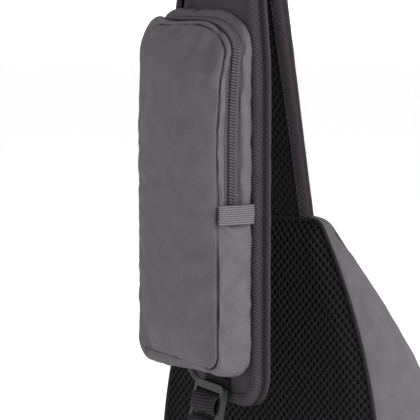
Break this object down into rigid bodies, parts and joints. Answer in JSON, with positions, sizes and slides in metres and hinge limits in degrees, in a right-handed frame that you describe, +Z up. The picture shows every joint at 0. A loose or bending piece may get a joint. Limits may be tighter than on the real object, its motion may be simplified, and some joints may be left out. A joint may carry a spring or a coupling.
{
  "type": "sling bag",
  "caption": "Padded teardrop sling bag: mesh back, zipped front pocket, padded shoulder strap folded over in front, with a zipped phone pocket and a ladder-lock buckle.",
  "frame": {"origin": "middle of the footprint, on the surface that the bag stands on", "axes": "+Z up, -Y towards the wearer (the mesh back and the shoulder strap), +X to the right as the wearer sees the back"},
  "size_m": [0.1507, 0.1938, 0.454],
  "materials": {
    "binding_tape": "ribbed grosgrain binding, mauve grey",
    "black_plastic": "moulded acetal, fine satin",
    "board": "stiff polyethylene sheet",
    "dark_metal": "dark lacquered zinc",
    "foam": "soft polyethylene foam",
    "grey_webbing": "ribbed polyester webbing, grey",
    "gusset_fabric": "woven polyester, light grey, matt",
    "mauve_fabric": "woven polyester twill, mauve grey, matt",
    "piping": "black woven piping",
    "silver_metal": "bright plated steel",
    "spacer_mesh": "black knitted spacer mesh with oval holes",
    "zip_coil": "moulded nylon coil",
    "zip_tape": "woven zip tape"
  },
  "bodies": {
    "bag": {"back_foam": "foam", "back_frame_sheet": "board", "back_mesh_panel": "spacer_mesh", "back_piping": "piping", "base_panel": "gusset_fabric", "corner_tab": "mauve_fabric", "front_flap": "mauve_fabric", "front_pocket": "mauve_fabric", "front_surround": "mauve_fabric", "front_zip_coil": "zip_coil", "front_zip_tape": "zip_tape", "inner_sleeve": "mauve_fabric", "lower_webbing": "grey_webbing", "main_zip_coil": "zip_coil", "main_zip_tape": "zip_tape", "side_gusset_left": "gusset_fabric", "side_gusset_right": "gusset_fabric"},
    "strap": {"strap_binding_left": "binding_tape", "strap_binding_right": "binding_tape", "strap_end_binding": "binding_tape", "strap_face_fabric": "mauve_fabric", "strap_foam": "foam", "strap_mesh_lining": "spacer_mesh", "phone_pocket_back": "mauve_fabric", "phone_pocket_front_gusset": "mauve_fabric", "phone_pocket_front_panel": "mauve_fabric", "phone_pocket_lower_gusset": "mauve_fabric", "phone_pocket_rear_gusset": "mauve_fabric", "phone_pocket_welt": "mauve_fabric", "phone_zip_tape": "zip_tape", "phone_zip_coil": "zip_coil", "phone_zip_end_tab": "grey_webbing"},
    "phone_slider": {"phone_zip_slider": "dark_metal"},
    "phone_pull": {"phone_zip_pull": "black_plastic"},
    "phone_ring": {"phone_pull_ring": "silver_metal"},
    "buckle": {"anchor_webbing": "grey_webbing", "ladder_lock": "black_plastic", "adjusting_webbing": "grey_webbing", "webbing_hem": "grey_webbing"},
    "main_slider": {"main_zip_slider": "dark_metal"},
    "main_pull": {"main_zip_pull": "black_plastic"},
    "front_slider": {"front_zip_slider": "dark_metal"},
    "front_pull": {"front_zip_pull": "black_plastic"}
  },
  "joints": [
    {"name": "strap_swing", "type": "hinge", "parent": "bag", "child": "strap", "pos_m": [0, 0.0013, 0.3], "axis": [1, 0, 0], "range_deg": [-12, 6]},
    {"name": "phone_zip_slide", "type": "slide", "parent": "strap", "child": "phone_slider", "axis": [0, 0, 1], "range_m": [0, 0.045]},
    {"name": "phone_pull_swing", "type": "hinge", "parent": "phone_slider", "child": "phone_pull", "pos_m": [-0.04842, -0.04788, 0.312], "axis": [-0.4384, -0.8988, 0], "range_deg": [-150, 0]},
    {"name": "phone_ring_swing", "type": "hinge", "parent": "phone_pull", "child": "phone_ring", "pos_m": [-0.04842, -0.04788, 0.2978], "axis": [-0.4384, -0.8988, 0], "range_deg": [-30, 8]},
    {"name": "buckle_swing", "type": "hinge", "parent": "strap", "child": "buckle", "pos_m": [0.0094, -0.06266, 0.21683], "axis": [0.8988, -0.4384, 0], "range_deg": [-45, 6]},
    {"name": "main_zip_slide", "type": "slide", "parent": "bag", "child": "main_slider", "axis": [0, 0, 1], "range_m": [0, 0.045]},
    {"name": "main_pull_swing", "type": "hinge", "parent": "main_slider", "child": "main_pull", "pos_m": [0.058, 0.08515, 0.074], "axis": [1, 0, 0], "range_deg": [0, 165]},
    {"name": "front_zip_slide", "type": "slide", "parent": "bag", "child": "front_slider", "axis": [1, 0, 0], "range_m": [-0.062, 0]},
    {"name": "front_pull_swing", "type": "hinge", "parent": "front_slider", "child": "front_pull", "pos_m": [0.032, 0.09475, 0.132], "axis": [0, 0, 1], "range_deg": [0, 165]}
  ]
}
